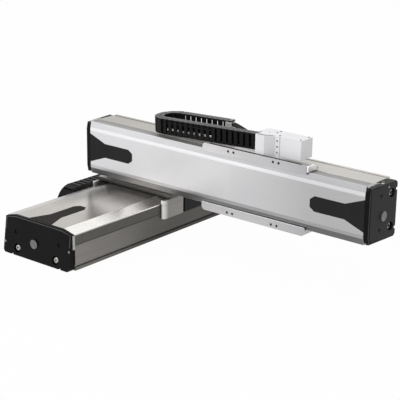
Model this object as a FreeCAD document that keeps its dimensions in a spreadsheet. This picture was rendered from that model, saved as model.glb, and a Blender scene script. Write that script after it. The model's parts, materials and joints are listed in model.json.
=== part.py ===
import FreeCAD, Part
import math
import os
import re
import Sketcher
from FreeCAD import Placement, Rotation, Vector

# Two enclosed linear stages, the upper one carried on its side by the lower one's carriage.
# Each stage is drawn in its own axes: u along its travel, v across it, w out through its cover.

sizes = {
    # lower stage section and length
    "lower_width": 250,
    "lower_height": 106.5,
    "lower_cover_drop": 11.5,
    "lower_slot_height": 27,
    "lower_length": 940,
    "lower_bevel_width": 37,
    "lower_cap_foot": 22,
    "lower_cap_crest": 7,
    # upper stage section and length
    "upper_width": 150,
    "upper_height": 110,
    "upper_cover_drop": 7.5,
    "upper_slot_height": 27.5,
    "upper_length": 908,
    "upper_bevel_width": 21,
    "upper_cap_foot": 23,
    "upper_cap_crest": 14,
    # base and cover sheet
    "floor_thickness": 16,
    "wall_thickness": 10,
    "groove_bottom": 9,
    "groove_top": 15,
    "groove_depth": 4,
    "cover_thickness": 4,
    "cover_skirt": 3,
    # end caps
    "cap_inset": 3,
    "cap_corner": 6,
    "cap_notch_width": 7,
    "cap_notch_height": 5,
    "lower_notch_inset": 37,
    "upper_notch_inset": 25,
    "boss_radius": 13,
    "boss_height": 0.8,
    "lower_boss_level": 45,
    "lower_boss_offset": -9,
    "upper_boss_level": 52,
    "upper_boss_offset": -10,
    "big_screw_radius": 8,
    "big_screw_height": 6,
    "lower_big_inset": 54,
    "lower_big_level": 20,
    "lower_pocket_radius": 12,
    "lower_pocket_depth": 8.5,
    "upper_big_inset": 32,
    "upper_big_level": 20,
    "upper_pocket_radius": 12,
    "upper_pocket_depth": 11,
    "small_screw_radius": 3,
    "small_screw_proud": 1,
    "small_screw_depth": 4,
    "lower_small_inset": 8,
    "lower_small_level_left": 29,
    "lower_small_level_right": 53,
    "upper_small_inset": 9,
    "upper_small_level_left": 92,
    "upper_small_level_right": 100,
    "blind_radius": 6,
    "blind_depth": 2.5,
    "lower_blind_inset": 45,
    "lower_blind_level": 62,
    "upper_blind_inset": 32,
    "upper_blind_level": 65,
    "bore_reach": 3,
    "cut_over": 1,
    # cover inlays
    "inlay_length": 158,
    "inlay_neck": 56,
    "inlay_wide_half": 41,
    "inlay_strip_half": 20,
    "inlay_tip": 14,
    "inlay_thickness": 0.5,
    # guide rails and bearing blocks
    "rail_width": 20,
    "rail_height": 17,
    "lower_rail_inset": 43,
    "upper_rail_inset": 35,
    "block_width": 40,
    "block_length": 62,
    "block_lift": 5,
    "block_crown": 11,
    "block_inset": 14,
    "rail_clearance": 0.5,
    # linear motor
    "yoke_height": 6,
    "magnet_height": 5,
    "magnet_pitch": 48,
    "magnet_length": 40,
    "lower_magnet_inset": 40,
    "upper_magnet_inset": 24,
    "air_gap": 1.5,
    "coil_short": 60,
    "coil_inset": 2,
    # carriages
    "carriage_length": 330,
    "leg_inset": 15,
    "saddle_thickness": 5.5,
    "slot_clearance": 1.5,
    "lower_carriage_place": 34,
    "upper_carriage_place": 119,
    "lower_flange_thickness": 10.5,
    "lower_flange_lap": 13,
    "lower_flange_proud": 1.5,
    "lower_flange_length": 89,
    "lower_flange_reach": 6,
    "skirt_gap": 0.5,
    "upper_flange_thickness": 15.5,
    "upper_flange_lap": 14,
    "upper_flange_proud": 2,
    "upper_lip_lap": 5,
    "upper_lip_thin": 3.5,
    "upper_lip_thick": 7,
    "upper_ledge": 4.5,
    "flange_round": 10,
    "end_block_length": 5.5,
    "end_block_depth": 38,
    "end_block_cut": 11,
    "tap_radius": 2.5,
    "tap_depth": 6,
    "tap_outer_pitch": 160,
    "tap_inner_pitch": 125,
    "tap_inset": 8,
    # slot seals, bumpers and encoder
    "seal_inset": 6,
    "seal_thickness": 1.2,
    "clamp_length": 6,
    "clamp_width": 5,
    "clamp_drop": 10,
    "clamp_clearance": 0.2,
    "bumper_width": 16,
    "bumper_length": 18,
    "bumper_level": 60,
    "scale_thickness": 1,
    "scale_height": 12,
    "scale_level": 50,
    "head_gap": 0.8,
    "head_width": 14,
    "head_length": 12,
    "head_foot": 46,
    # cable chains
    "chain_outer": 51,
    "chain_depth": 25,
    "chain_width": 42,
    "chain_pitch": 18.5,
    "chain_step": 2,
    "chain_wall": 5,
    "chain_collar": 0.66,
    "lower_chain_centre": 52.5,
    "lower_chain_gap": 4,
    "lower_chain_links": 11,
    "lower_chain_sag": 0,
    "upper_chain_centre": 50.5,
    "upper_chain_gap": 8,
    "upper_chain_links": 17,
    "upper_chain_sag": 2.7,
    "fixed_links": 9,
    "lower_chain_end": 12,
    "upper_chain_end": -0.5,
    "chain_clamp_thickness": 4,
    "chain_clamp_foot": 24,
    # junction boxes
    "box_sheet": 2.8,
    "panel_length": 28,
    "panel_slope": 24,
    "panel_drop": 15,
    "box_length": 77,
    "box_depth": 50,
    "box_height": 48,
    "box_wall": 2.5,
    "box_lap": 12,
    "lid_thickness": 2.5,
    "lower_box_gap": 6.5,
    "upper_box_gap": 10.5,
    "box_screw_radius": 2,
    "box_screw_height": 1.2,
    "lid_screw_inset": 7,
    "lid_screw_reach": 16,
    "face_screw_pitch": 15,
    # upper stage's place on the lower carriage
    "upper_back_place": -36,
    "upper_centre_place": -324,
    # bracket between the stages
    "plate_start": -109,
    "plate_thickness": 10,
    "riser_height": 20,
    "riser_gap": 4,
    "bracket_inset": 7,
    "back_thickness": 16,
    "back_drop": 6,
    "gusset_offset": 80,
    "gusset_thickness": 14,
    "gusset_inset": 14,
    "bolt_radius": 6,
    "bolt_height": 8,
    "wall_bolt_pitch": 50,
    "wall_bolt_spread": 60,
    # floor holes that hold the lower base down
    "hold_radius": 4.5,
    "hold_pitch": 800,
    "hold_inset": 8,
    # loose cables at the upper chain's fixed end
    "cable_radius": 4,
    "cable_pitch": 10,
    "cable_rise": 25,
    "cable_drop": 45,
    "cable_run": 105,
    "cable_length": 114,
    "cable_gap": 2.4,
}

# sizes that follow from the others
derived = {
    "leg_length": "carriage_length - 2 * leg_inset",
    "coil_length": "leg_length - coil_short",
    "block_spread": "(leg_length - block_length) / 2 - block_inset",
    "lower_panel_face": "lower_flange_face - 2 * skirt_gap",
    "lower_panel_side": "lower_flange_outer - skirt_gap",
    "upper_panel_face": "upper_flange_face - upper_lip_thick",
    "upper_panel_side": "upper_width / 2 + 2 * slot_clearance + upper_ledge",
    "upper_lip_inner": "upper_width / 2 - upper_lip_lap",
    "upper_axis_height": "lower_flange_face + plate_thickness + riser_height + upper_width / 2",
    "riser_start": "upper_back_place - upper_flange_foot + riser_gap",
    "bracket_half": "lower_width / 2 - bracket_inset",
    "back_top": "upper_axis_height + upper_width / 2 - back_drop",
    "tap_spread": "upper_width + 2 * tap_inset",
    "hold_spread": "2 * (lower_magnet_half + hold_inset)",
}
for s in ("lower", "upper"):
    derived[f"{s}_cover_edge"] = f"{s}_height - {s}_cover_drop"
    derived[f"{s}_wall_top"] = f"{s}_cover_edge - {s}_slot_height"
    derived[f"{s}_flat_half"] = f"{s}_width / 2 - {s}_bevel_width"
    derived[f"{s}_notch_offset"] = f"{s}_width / 2 - {s}_notch_inset"
    derived[f"{s}_big_offset"] = f"{s}_width / 2 - {s}_big_inset"
    derived[f"{s}_small_offset"] = f"{s}_width / 2 - {s}_small_inset"
    derived[f"{s}_blind_offset"] = f"{s}_width / 2 - {s}_blind_inset"
    derived[f"{s}_rail_offset"] = f"{s}_width / 2 - {s}_rail_inset"
    derived[f"{s}_magnet_half"] = f"{s}_rail_offset - {s}_magnet_inset"
    derived[f"{s}_flange_outer"] = f"{s}_width / 2 + slot_clearance + {s}_flange_thickness"
    derived[f"{s}_flange_foot"] = f"{s}_wall_top - {s}_flange_lap"
    derived[f"{s}_flange_face"] = f"{s}_height + {s}_flange_proud"
    derived[f"{s}_chain_side"] = f"{s}_flange_outer + {s}_chain_gap"
    derived[f"{s}_box_side"] = f"{s}_panel_side + {s}_box_gap"

doc = FreeCAD.newDocument("two_axis_stage")
sheet = doc.addObject("Spreadsheet::Sheet", "sizes")
cells = {**sizes, **{alias: f"={formula}" for alias, formula in derived.items()}}
for row, alias in enumerate(cells, start=1):
    sheet.set(f"A{row}", alias)
    sheet.setAlias(f"B{row}", alias)
for row, value in enumerate(cells.values(), start=1):
    sheet.set(f"B{row}", str(value))
doc.recompute()

planes = {"vw": "YZ_Plane", "uw": "XZ_Plane", "uv": "XY_Plane"}
turns = {
    "u": Rotation(Vector(0, 1, 0), 90),
    "v": Rotation(Vector(1, 0, 0), -90),
    "w": Rotation(),
}
nodes = []


def bind(text):
    """Turn a formula written with size names into one that reads the spreadsheet."""
    return re.sub(r"[a-z]\w*", lambda word: f"sizes.{word.group(0)}", str(text))


def read(text):
    """Give the present value of a formula."""
    return float(sheet.evalExpression(bind(text)))


def block(name, u, v, w):
    """A box from start and length formulas along the three axes."""
    box = doc.addObject("Part::Box", name)
    for side, place, (start, length) in zip(("Length", "Width", "Height"), "xyz", (u, v, w)):
        box.setExpression(side, bind(length))
        box.setExpression(f"Placement.Base.{place}", bind(start))
    return box


def rod(name, axis, radius, length, at, angle=360):
    """A cylinder that starts at a point and runs along one axis."""
    cylinder = doc.addObject("Part::Cylinder", name)
    cylinder.Placement = Placement(Vector(), turns[axis])
    cylinder.Angle = angle
    cylinder.setExpression("Radius", bind(radius))
    cylinder.setExpression("Height", bind(length))
    for place, formula in zip("xyz", at):
        cylinder.setExpression(f"Placement.Base.{place}", bind(formula))
    return cylinder


def hexagon(name, axis, radius, length, at):
    """A six-sided screw head that starts at a point and runs along one axis."""
    head = doc.addObject("Part::Prism", name)
    head.Placement = Placement(Vector(), turns[axis])
    head.Polygon = 6
    head.setExpression("Circumradius", bind(radius))
    head.setExpression("Height", bind(length))
    for place, formula in zip("xyz", at):
        head.setExpression(f"Placement.Base.{place}", bind(formula))
    return head


def prism(name, plane, points, start, length):
    """A body padded from a closed outline whose corners are formulas."""
    body = doc.addObject("PartDesign::Body", name)
    sketch = body.newObject("Sketcher::SketchObject", f"{name}_outline")
    support = [feature for feature in body.Origin.OriginFeatures if feature.Role == planes[plane]]
    sketch.AttachmentSupport = [(support[0], "")]
    sketch.MapMode = "FlatFace"
    sign = "-1" if plane == "uw" else "1"
    sketch.setExpression("AttachmentOffset.Base.z", bind(f"{sign} * ({start})"))
    corners = [Vector(read(across), read(up), 0) for across, up in points]
    for index, corner in enumerate(corners):
        sketch.addGeometry(Part.LineSegment(corner, corners[(index + 1) % len(corners)]))
    for index in range(len(corners)):
        sketch.addConstraint(Sketcher.Constraint("Coincident", index, 2, (index + 1) % len(corners), 1))
    for index, (corner, formulas) in enumerate(zip(corners, points)):
        for kind, value, formula in zip(("DistanceX", "DistanceY"), corner, formulas):
            number = sketch.addConstraint(Sketcher.Constraint(kind, -1, 1, index, 1, value))
            sketch.setExpression(f"Constraints[{number}]", bind(formula))
    pad = body.newObject("PartDesign::Pad", f"{name}_pad")
    pad.Profile = sketch
    pad.Reversed = plane == "uw"
    pad.setExpression("Length", bind(length))
    doc.recompute()
    return body


def round_edges(body, radius, chosen):
    """Round the edges of a body that a test picks out."""
    last = body.Tip
    names = [f"Edge{number}" for number, edge in enumerate(last.Shape.Edges, start=1) if chosen(edge)]
    fillet = body.newObject("PartDesign::Fillet", f"{body.Name}_round")
    fillet.Base = (last, names)
    fillet.setExpression("Radius", bind(radius))
    doc.recompute()
    return body


def join(name, pieces):
    """One solid from several that touch."""
    fuse = doc.addObject("Part::MultiFuse", name)
    fuse.Shapes = pieces
    return fuse


def group(name, pieces):
    """Separate solids kept together in one node."""
    compound = doc.addObject("Part::Compound", name)
    compound.Links = pieces
    return compound


def cut(name, base, tools):
    """A solid with several others taken out of it."""
    difference = doc.addObject("Part::Cut", name)
    difference.Base = base
    difference.Tool = tools[0] if len(tools) == 1 else group(f"{name}_tools", tools)
    return difference


def node(label, shape, place):
    """Register a finished piece under its node name and set it in its place."""
    holder = group(f"node_{label}", [shape])
    holder.Label = label
    holder.Placement = place
    nodes.append(holder)


def across(edge, value):
    """Tell whether an edge runs along w at a given distance from the middle plane."""
    first, last = edge.Vertexes[0].Point, edge.Vertexes[-1].Point
    upright = abs(first.x - last.x) < 0.01 and abs(first.y - last.y) < 0.01
    return upright and abs(abs(first.y) - value) < 0.01


def make_base(s):
    half = f"{s}_width / 2"
    inner = f"({half} - wall_thickness)"
    notch = f"({half} - groove_depth)"
    right = [
        (half, "0"),
        (half, "groove_bottom"),
        (notch, "groove_bottom"),
        (notch, "groove_top"),
        (half, "groove_top"),
        (half, f"{s}_wall_top"),
        (inner, f"{s}_wall_top"),
        (inner, "floor_thickness"),
    ]
    left = [(f"-1 * {across_formula}", up) for across_formula, up in reversed(right)]
    channel = prism(f"{s}_base_channel", "vw", right + left, f"-{s}_length / 2", f"{s}_length")
    holes = []
    if s == "lower":
        for place_u in (-1, 1):
            for place_v in (-1, 1):
                at = (f"{place_u} * hold_pitch / 2", f"{place_v} * hold_spread / 2", "0")
                holes.append(rod(f"hold_{len(holes)}", "w", "hold_radius", "floor_thickness", at))
    return cut(f"{s}_base_cut", channel, holes) if holes else channel


def make_cover(s):
    half = f"{s}_width / 2"
    flat = f"{s}_flat_half"
    edge = f"{s}_cover_edge"
    top = f"{s}_height"
    outer = [(half, edge), (half, f"{edge} + cover_skirt"), (flat, top)]
    inside = [
        (f"{flat} - cover_thickness / 4", f"{top} - cover_thickness"),
        (f"{half} - cover_thickness", f"{edge} + cover_skirt / 2"),
        (f"{half} - cover_thickness", edge),
    ]
    left_outer = [(f"-1 * ({place})", up) for place, up in reversed(outer)]
    left_inner = [(f"-1 * ({place})", up) for place, up in reversed(inside)]
    points = outer + left_outer + left_inner + inside
    return prism(f"{s}_cover_sheet", "vw", points, f"-{s}_length / 2", f"{s}_length")


def slant(s, level):
    """Distance of the cap's sloping outer face beyond the base's end at a given level."""
    return f"({s}_cap_foot - ({s}_cap_foot - {s}_cap_crest) * ({level}) / {s}_height)"


def cap_screws(s, tag):
    """Screw heads of one cap: a big one seated in each pocket and a small one that stands proud."""
    heads = []
    for side, word in ((-1, "left"), (1, "right")):
        level = f"{s}_big_level"
        seat = f"{s}_length / 2 + {slant(s, level)} - {s}_pocket_depth"
        heads.append(rod(f"{s}_{tag}_big_{word}", "u", "big_screw_radius", "big_screw_height",
                         (seat, f"{side} * {s}_big_offset", level)))
        level = f"{s}_small_level_{word}"
        seat = f"{s}_length / 2 + {slant(s, level)} - small_screw_depth"
        heads.append(hexagon(f"{s}_{tag}_small_{word}", "u", "small_screw_radius",
                             "small_screw_depth + small_screw_proud",
                             (seat, f"{side} * {s}_small_offset", level)))
    return heads


def cap_bores(s, tag):
    """Bores of one cap: a pocket for each big screw, a seat for each small one and two blind holes."""
    bores = []
    for side, word in ((-1, "left"), (1, "right")):
        for kind, level, radius, depth in (
            ("big", f"{s}_big_level", f"{s}_pocket_radius", f"{s}_pocket_depth"),
            ("small", f"{s}_small_level_{word}", "small_screw_radius + clamp_clearance", "small_screw_depth"),
            ("blind", f"{s}_blind_level", "blind_radius", "blind_depth"),
        ):
            at = (f"{s}_length / 2 + {slant(s, level)} - {depth}", f"{side} * {s}_{kind}_offset", level)
            bores.append(rod(f"{s}_{tag}_{kind}_bore_{word}", "u", radius, f"{depth} + bore_reach", at))
    return bores


def make_cap(s, tag):
    half = f"({s}_width / 2 - cap_inset)"
    end = f"{s}_length / 2"
    notch = f"{s}_notch_offset"
    wide = "cap_notch_width / 2"
    right = [
        (f"{notch} - {wide}", "0"),
        (f"{notch} - {wide}", "cap_notch_height"),
        (f"{notch} + {wide}", "cap_notch_height"),
        (f"{notch} + {wide}", "0"),
        (f"{half} - cap_corner", "0"),
        (half, "cap_corner"),
        (half, f"{s}_cover_edge + cover_skirt"),
        (f"{s}_flat_half", f"{s}_height"),
    ]
    left = [(f"-1 * ({place})", up) for place, up in reversed(right)]
    body = prism(f"{s}_{tag}_slab", "vw", right + left, end, f"{s}_cap_foot")
    beyond = f"{end} + {s}_cap_foot + cut_over"
    above = f"{s}_height + cut_over"
    wedge = [
        (f"{end} + {s}_cap_foot", "0"),
        (beyond, "0"),
        (beyond, above),
        (f"{end} + {slant(s, above)}", above),
    ]
    tools = [prism(f"{s}_{tag}_wedge", "uw", wedge, f"-{half} - cut_over", f"{s}_width + 2 * cut_over")]
    tools += cap_bores(s, tag)
    for place, side in ((f"{half} - clamp_width - clamp_clearance", "plus"), (f"-{half} - cut_over", "minus")):
        tools.append(block(f"{s}_{tag}_rebate_{side}",
                           (end, "clamp_length + clamp_clearance"),
                           (place, "clamp_width + clamp_clearance + cut_over"),
                           (f"{s}_wall_top - clamp_drop - clamp_clearance", f"{s}_height")))
    shell = cut(f"{s}_{tag}_cut", body, tools)
    boss_at = (end, f"{s}_boss_offset", f"{s}_boss_level")
    boss = rod(f"{s}_{tag}_boss", "u", "boss_radius",
               f"{slant(s, f'{s}_boss_level - boss_radius')} + boss_height", boss_at)
    return join(f"{s}_{tag}_cap", [shell, boss])


def make_inlay(s, tag):
    end = f"{s}_length / 2"
    neck = f"{end} - inlay_neck"
    tip = f"{end} - inlay_length"
    right = [
        (end, "inlay_wide_half"),
        (neck, "inlay_strip_half"),
        (f"{tip} + inlay_tip", "inlay_strip_half"),
        (tip, "inlay_strip_half / 2"),
    ]
    left = [(place, f"-1 * ({side})") for place, side in reversed(right)]
    return prism(f"{s}_inlay_{tag}", "uv", right + left, f"{s}_height", "inlay_thickness")


def make_bearing(s, name, place_u, place_v):
    start = f"{s}_carriage_place + {place_u} * block_spread - block_length / 2"
    middle = f"{place_v} * {s}_rail_offset"
    foot = "floor_thickness + block_lift"
    body = block(f"{name}_body", (start, "block_length"), (f"{middle} - block_width / 2", "block_width"),
                 (foot, "rail_height - block_lift + block_crown"))
    channel = block(f"{name}_channel", (start, "block_length"),
                    (f"{middle} - rail_width / 2 - rail_clearance", "rail_width + 2 * rail_clearance"),
                    (foot, "rail_height - block_lift + rail_clearance"))
    return cut(name, body, [channel])


def make_saddle(s):
    half = f"({s}_width / 2 + slot_clearance)"
    top = f"{s}_cover_edge - slot_clearance"
    under = f"{top} - saddle_thickness"
    crown = "floor_thickness + rail_height + block_crown"
    plate = block(f"{s}_saddle_plate", (f"{s}_carriage_place - carriage_length / 2", "carriage_length"),
                  (f"-{half}", f"2 * {half}"), (under, "saddle_thickness"))
    legs = [
        block(f"{s}_saddle_leg_{side + 1}", (f"{s}_carriage_place - leg_length / 2", "leg_length"),
              (f"{side} * {s}_rail_offset - block_width / 2", "block_width"), (crown, f"{under} - ({crown})"))
        for side in (-1, 1)
    ]
    return join(f"{s}_saddle_body", [plate] + legs)


def tap_holes(s, side, level):
    holes = []
    for pitch in ("tap_outer_pitch", "tap_inner_pitch"):
        for place in (-1, 1):
            at = (f"{s}_carriage_place + {place} * {pitch} / 2", f"{side} * tap_spread / 2", level)
            name = f"{s}_tap_{side + 1}_{pitch}_{place + 1}"
            holes.append(rod(name, "w", "tap_radius", "tap_depth + cut_over", at))
    return holes


def make_upper_flange(side):
    wall = "upper_width / 2 + slot_clearance"
    face = "upper_flange_face"
    lip = [("upper_lip_inner", face), ("upper_lip_inner", f"{face} - upper_lip_thin"),
           (wall, f"{face} - upper_lip_thin"), (wall, "upper_flange_foot")]
    if side > 0:
        # the chain side is a thin ledge with a lip, so that the chain can lie behind the lip
        lip += [(f"{wall} + upper_ledge", "upper_flange_foot"),
                (f"{wall} + upper_ledge", f"{face} - upper_lip_thick"),
                ("upper_flange_outer", f"{face} - upper_lip_thick"),
                ("upper_flange_outer", face)]
    else:
        lip += [("upper_flange_outer", "upper_flange_foot"), ("upper_flange_outer", face)]
    points = [(f"{side} * ({place})", up) for place, up in lip]
    body = prism(f"upper_flange_{side + 1}", "vw", points,
                 "upper_carriage_place - carriage_length / 2", "carriage_length")
    round_edges(body, "flange_round", lambda edge: across(edge, read("upper_flange_outer")))
    return cut(f"upper_flange_cut_{side + 1}", body, tap_holes("upper", side, f"{face} - tap_depth"))


def make_lower_flange(side):
    inner = "lower_width / 2 + slot_clearance"
    ends = []
    for place in (-1, 1):
        near = f"{place} * (carriage_length / 2 + lower_flange_reach)"
        far = f"{place} * (carriage_length / 2 + lower_flange_reach - lower_flange_length)"
        points = [(f"lower_carriage_place + {at}", f"{side} * ({out})")
                  for at, out in ((near, inner), (near, "lower_flange_outer"),
                                  (far, "lower_flange_outer"), (far, inner))]
        name = f"lower_flange_{side + 1}_{place + 1}"
        body = prism(name, "uv", points, "lower_flange_foot", "lower_flange_face - lower_flange_foot")
        ends.append(round_edges(body, "flange_round", lambda edge: across(edge, read("lower_flange_outer"))))
    return group(f"lower_flange_pair_{side + 1}", ends)


def make_end_block():
    """A block on the far end of the upper carriage's chain-side flange, with its back corner cut off."""
    inner = "upper_width / 2 + slot_clearance"
    outer = "upper_flange_outer"
    face = "upper_flange_face"
    back = f"{face} - end_block_depth"
    points = [(inner, face), (inner, back), (f"{outer} - end_block_cut", back),
              (outer, f"{back} + end_block_cut"), (outer, face)]
    return prism("end_block", "vw", points, "upper_carriage_place + carriage_length / 2", "end_block_length")


def make_skirts():
    half = "(carriage_length / 2 + lower_flange_reach - lower_flange_length - skirt_gap)"
    length = f"2 * {half}"
    start = f"lower_carriage_place - {half}"
    inner = "lower_width / 2 + slot_clearance"
    thick = f"lower_flange_outer - skirt_gap - ({inner})"
    rise = ("lower_flange_foot + skirt_gap", "lower_flange_face - lower_flange_foot - 2 * skirt_gap")
    return group("skirt_pair", [
        block("skirt_plus", (start, length), (inner, thick), rise),
        block("skirt_minus", (start, length), ("-1 * (lower_flange_outer - skirt_gap)", thick), rise),
    ])


def make_run(s, tag, start, links, low):
    """A straight stretch of cable chain: collared links with an open window at every joint."""
    side = f"{s}_chain_side"
    length = f"{links} * chain_pitch"
    pieces = [block(f"{s}_{tag}_core", (start, length),
                    (f"{side} + chain_step", "chain_width - 2 * chain_step"),
                    (f"{low} + chain_step", "chain_depth - 2 * chain_step"))]
    for link in range(int(read(links))):
        at = f"{start} + ({link} + (1 - chain_collar) / 2) * chain_pitch"
        pieces.append(block(f"{s}_{tag}_collar_{link}", (at, "chain_collar * chain_pitch"),
                            (side, "chain_width"), (low, "chain_depth")))
    hollow = block(f"{s}_{tag}_hollow", (start, length),
                   (f"{side} + chain_wall", "chain_width - 2 * chain_wall"),
                   (f"{low} + chain_wall", "chain_depth - 2 * chain_wall"))
    windows = [block(f"{s}_{tag}_window_{joint}",
                     (f"{start} + ({joint} - (1 - chain_collar) / 2) * chain_pitch",
                      "(1 - chain_collar) * chain_pitch"),
                     (f"{side} + chain_wall", "chain_width - 2 * chain_wall"), (low, "chain_depth"))
               for joint in range(1, int(read(links)))]
    return cut(f"{s}_{tag}_run", join(f"{s}_{tag}_links", pieces), [hollow] + windows)


def sector(name, s, radius, inset, first, angle):
    """Part of a disc about the chain's bend, on the side away from the junction box."""
    at = (f"{s}_carriage_place - {s}_chain_end - {s}_chain_links * chain_pitch",
          f"{s}_chain_side + ({inset})", f"{s}_chain_centre")
    piece = rod(name, "v", radius, f"chain_width - 2 * ({inset})", at, angle)
    piece.Placement.Rotation = Rotation(Vector(0, 1, 0), first) * turns["v"]
    return piece


def make_bend(s):
    inner = "(chain_outer - chain_depth)"
    turn = math.degrees(read("chain_pitch / (chain_outer - chain_depth / 2)"))
    count = int(180 / turn)
    step = 180 / count
    collar = step * read("chain_collar")
    pieces = [sector(f"{s}_bend_core", s, "chain_outer - chain_step", "chain_step", 90, 180)]
    for link in range(count):
        first = 90 + step * link + (step - collar) / 2
        pieces.append(sector(f"{s}_bend_collar_{link}", s, "chain_outer", "0", first, collar))
    space = sector(f"{s}_bend_space", s, "chain_outer - chain_wall", "chain_wall", 0, 360)
    spine = sector(f"{s}_bend_spine", s, f"{inner} + chain_wall", "0", 0, 360)
    ring = cut(f"{s}_bend_hollow", space, [spine])
    hub = sector(f"{s}_bend_hub", s, inner, "-cut_over", 0, 360)
    windows = [sector(f"{s}_bend_window_{joint}", s, "chain_outer", "chain_wall",
                      90 + step * joint - (step - collar) / 2, step - collar) for joint in range(1, count)]
    return cut(f"{s}_bend_arc", join(f"{s}_bend_links", pieces), [hub, ring] + windows)


def make_chain_clamp(s):
    end = (f"{s}_carriage_place - {s}_chain_end - {s}_chain_links * chain_pitch"
           f" + fixed_links * chain_pitch + skirt_gap")
    low = f"{s}_chain_centre - chain_outer + chain_wall"
    deep = "chain_depth - 2 * chain_wall"
    wall = f"{s}_width / 2"
    post = block(f"{s}_clamp_post", (end, "chain_clamp_thickness"),
                 (wall, f"{s}_chain_side + chain_width - chain_wall - {wall}"), (low, deep))
    foot = block(f"{s}_clamp_foot", (end, "chain_clamp_foot"), (wall, "chain_clamp_thickness"), (low, deep))
    return join(f"{s}_chain_clamp_piece", [post, foot])


def box_start(s):
    return f"{s}_carriage_place - {s}_chain_end"


def make_box_bracket(s):
    start = box_start(s)
    face = f"{s}_panel_face"
    bend = f"{start} + panel_length"
    corner = f"{bend} + panel_slope"
    lap = f"{corner} + box_lap"
    points = [
        (start, face),
        (bend, face),
        (corner, f"{face} - panel_drop"),
        (lap, f"{face} - panel_drop"),
        (lap, f"{face} - panel_drop - box_sheet"),
        (f"{corner} - box_sheet / 4", f"{face} - panel_drop - box_sheet"),
        (f"{bend} - box_sheet / 4", f"{face} - box_sheet"),
        (f"{start} + box_sheet", f"{face} - box_sheet"),
        (f"{start} + box_sheet", f"{face} - chain_depth"),
        (start, f"{face} - chain_depth"),
    ]
    top = f"{s}_box_side + box_height + lid_thickness"
    return prism(f"{s}_box_bracket_sheet", "uw", points, f"{s}_panel_side", f"{top} - {s}_panel_side")


def make_box(s):
    start = f"{box_start(s)} + panel_length + panel_slope"
    front = f"{s}_panel_face - panel_drop - box_sheet"
    side = f"{s}_box_side"
    outside = block(f"{s}_box_outside", (start, "box_length"), (side, "box_height"),
                    (f"{front} - box_depth", "box_depth"))
    inside = block(f"{s}_box_inside", (f"{start} + box_wall", "box_length - 2 * box_wall"),
                   (f"{side} + box_wall", "box_height"),
                   (f"{front} - box_depth + box_wall", "box_depth - 2 * box_wall"))
    return cut(f"{s}_box_shell", outside, [inside])


def make_lid(s):
    start = f"{box_start(s)} + panel_length + panel_slope"
    front = f"{s}_panel_face - panel_drop - box_sheet"
    points = [
        (f"{start} + box_length", front),
        (f"{start} + box_length", f"{front} - box_depth"),
        (f"{start} - panel_slope", f"{front} - box_depth"),
        (f"{start} - panel_slope - panel_length / 2", f"{front} - box_depth / 2"),
        (f"{start} - panel_slope", f"{front} - box_sheet"),
        (start, front),
    ]
    return prism(f"{s}_lid_sheet", "uw", points, f"{s}_box_side + box_height", "lid_thickness")


def make_box_screws(s):
    start = f"{box_start(s)} + panel_length + panel_slope"
    front = f"{s}_panel_face - panel_drop - box_sheet"
    top = f"{s}_box_side + box_height + lid_thickness"
    left = f"{start} - lid_screw_reach"
    right = f"{start} + box_length - lid_screw_inset"
    near = f"{front} - lid_screw_inset"
    back = f"{front} - box_depth + lid_screw_inset"
    screws = []
    for at_u, at_w in ((f"{start} + lid_screw_inset", near), (right, near), (right, back), (left, back),
                       (left, f"{back} + lid_screw_reach")):
        name = f"{s}_lid_screw_{len(screws)}"
        screws.append(hexagon(name, "v", "box_screw_radius", "box_screw_height", (at_u, top, at_w)))
    for place in (-1, 0, 1):
        at = (f"{start} + box_lap / 2", f"{s}_box_side + box_height / 2 + {place} * face_screw_pitch",
              f"{front} + box_sheet")
        screws.append(hexagon(f"{s}_face_screw_{place + 1}", "w", "box_screw_radius", "box_screw_height", at))
    return group(f"{s}_box_screw_set", screws)


def make_bracket():
    top = "lower_flange_face + plate_thickness"
    seat = "upper_axis_height - upper_width / 2"
    end = "lower_carriage_place + carriage_length / 2"
    back = "upper_back_place + back_thickness"
    plate = block("plate_bar", ("plate_start", f"{end} - plate_start"),
                  ("-lower_flange_outer", "2 * lower_flange_outer"), ("lower_flange_face", "plate_thickness"))
    riser = block("riser_bar", ("riser_start", "upper_back_place - riser_start"),
                  ("-bracket_half", "2 * bracket_half"), (top, f"{seat} - ({top})"))
    wall = block("wall_bar", ("upper_back_place", "back_thickness"), ("-bracket_half", "2 * bracket_half"),
                 (top, f"back_top - ({top})"))
    web = [(back, top), (f"{end} - gusset_inset", top), (f"{end} - gusset_inset", f"{top} + gusset_inset"),
           (f"{back} + gusset_inset", "back_top - gusset_inset"), (back, "back_top - gusset_inset")]
    gussets = []
    for side in (-1, 1):
        start = f"{side} * gusset_offset - gusset_thickness / 2"
        gussets.append(prism(f"gusset_{side + 1}", "uw", web, start, "gusset_thickness"))
    bolts = []
    for level in (-1, 1):
        for side in (-1, 0, 1):
            at = (back, f"{side} * wall_bolt_pitch", f"upper_axis_height + {level} * wall_bolt_spread / 2")
            bolts.append(hexagon(f"wall_bolt_{level + 1}_{side + 1}", "u", "bolt_radius", "bolt_height", at))
    for quarter in (1, 3):
        for side in (-1, 1):
            at = (f"{end} - {quarter} * lower_flange_length / 4",
                  f"{side} * (lower_flange_outer - 2 * bolt_radius)", top)
            bolts.append(hexagon(f"plate_bolt_{quarter}_{side + 1}", "w", "bolt_radius", "bolt_height", at))
    return {"cross_plate": plate, "riser": riser, "back_plate": wall,
            "gussets": group("gusset_pair", gussets), "bracket_bolts": group("bolt_set", bolts)}


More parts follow.
